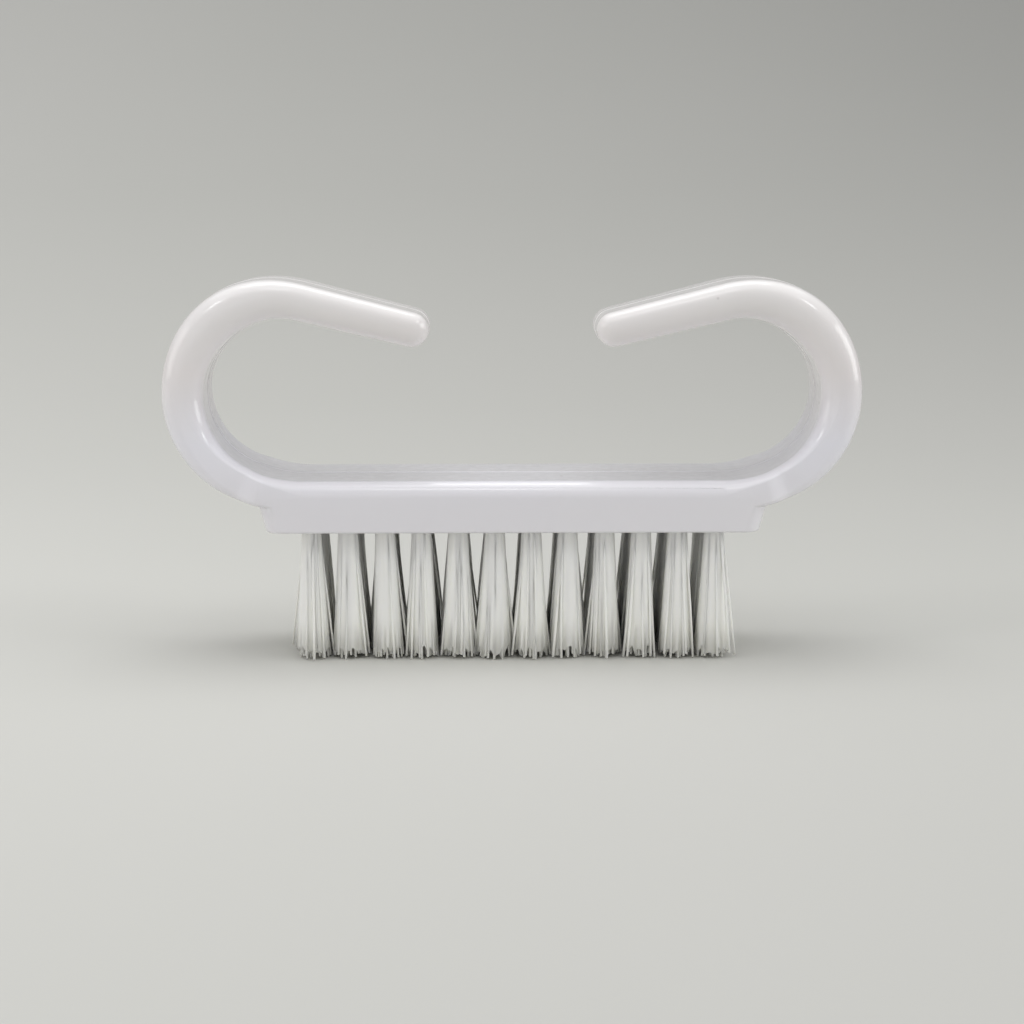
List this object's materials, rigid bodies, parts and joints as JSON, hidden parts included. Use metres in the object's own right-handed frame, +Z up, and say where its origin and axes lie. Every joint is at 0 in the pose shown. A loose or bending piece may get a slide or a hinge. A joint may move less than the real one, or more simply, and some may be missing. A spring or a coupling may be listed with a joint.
{
  "type": "nail brush",
  "caption": "Small moulded plastic nail brush: a slim block with curled finger horns that nearly meet above it and short upright nylon tufts below, for scrubbing nails and hands.",
  "frame": {"origin": "on the plane of the bristle tips, under the middle of the block", "axes": "+X along the block, +Y across it, +Z up from the bristle tips to the horns"},
  "size_m": [0.066, 0.0144, 0.0357],
  "materials": {
    "handle_plastic": "glossy moulded white plastic, slightly translucent",
    "bristle_nylon": "translucent off-white nylon filament",
    "anchor_wire": "plain flat wire"
  },
  "bodies": {
    "root": {"handle": "handle_plastic", "tuft_r1_c01": "bristle_nylon", "tuft_r1_c02": "bristle_nylon", "tuft_r1_c03": "bristle_nylon", "tuft_r1_c04": "bristle_nylon", "tuft_r1_c05": "bristle_nylon", "tuft_r1_c06": "bristle_nylon", "tuft_r1_c07": "bristle_nylon", "tuft_r1_c08": "bristle_nylon", "tuft_r1_c09": "bristle_nylon", "tuft_r1_c10": "bristle_nylon", "tuft_r1_c11": "bristle_nylon", "tuft_r1_c12": "bristle_nylon", "tuft_r2_c01": "bristle_nylon", "tuft_r2_c02": "bristle_nylon", "tuft_r2_c03": "bristle_nylon", "tuft_r2_c04": "bristle_nylon", "tuft_r2_c05": "bristle_nylon", "tuft_r2_c06": "bristle_nylon", "tuft_r2_c07": "bristle_nylon", "tuft_r2_c08": "bristle_nylon", "tuft_r2_c09": "bristle_nylon", "tuft_r2_c10": "bristle_nylon", "tuft_r2_c11": "bristle_nylon", "tuft_r2_c12": "bristle_nylon", "tuft_r3_c01": "bristle_nylon", "tuft_r3_c02": "bristle_nylon", "tuft_r3_c03": "bristle_nylon", "tuft_r3_c04": "bristle_nylon", "tuft_r3_c05": "bristle_nylon", "tuft_r3_c06": "bristle_nylon", "tuft_r3_c07": "bristle_nylon", "tuft_r3_c08": "bristle_nylon", "tuft_r3_c09": "bristle_nylon", "tuft_r3_c10": "bristle_nylon", "tuft_r3_c11": "bristle_nylon", "tuft_r3_c12": "bristle_nylon", "tuft_r4_c01": "bristle_nylon", "tuft_r4_c02": "bristle_nylon", "tuft_r4_c03": "bristle_nylon", "tuft_r4_c04": "bristle_nylon", "tuft_r4_c05": "bristle_nylon", "tuft_r4_c06": "bristle_nylon", "tuft_r4_c07": "bristle_nylon", "tuft_r4_c08": "bristle_nylon", "tuft_r4_c09": "bristle_nylon", "tuft_r4_c10": "bristle_nylon", "tuft_r4_c11": "bristle_nylon", "tuft_r4_c12": "bristle_nylon", "anchors_row_1": "anchor_wire", "anchors_row_2": "anchor_wire", "anchors_row_3": "anchor_wire", "anchors_row_4": "anchor_wire"}
  },
  "joints": []
}
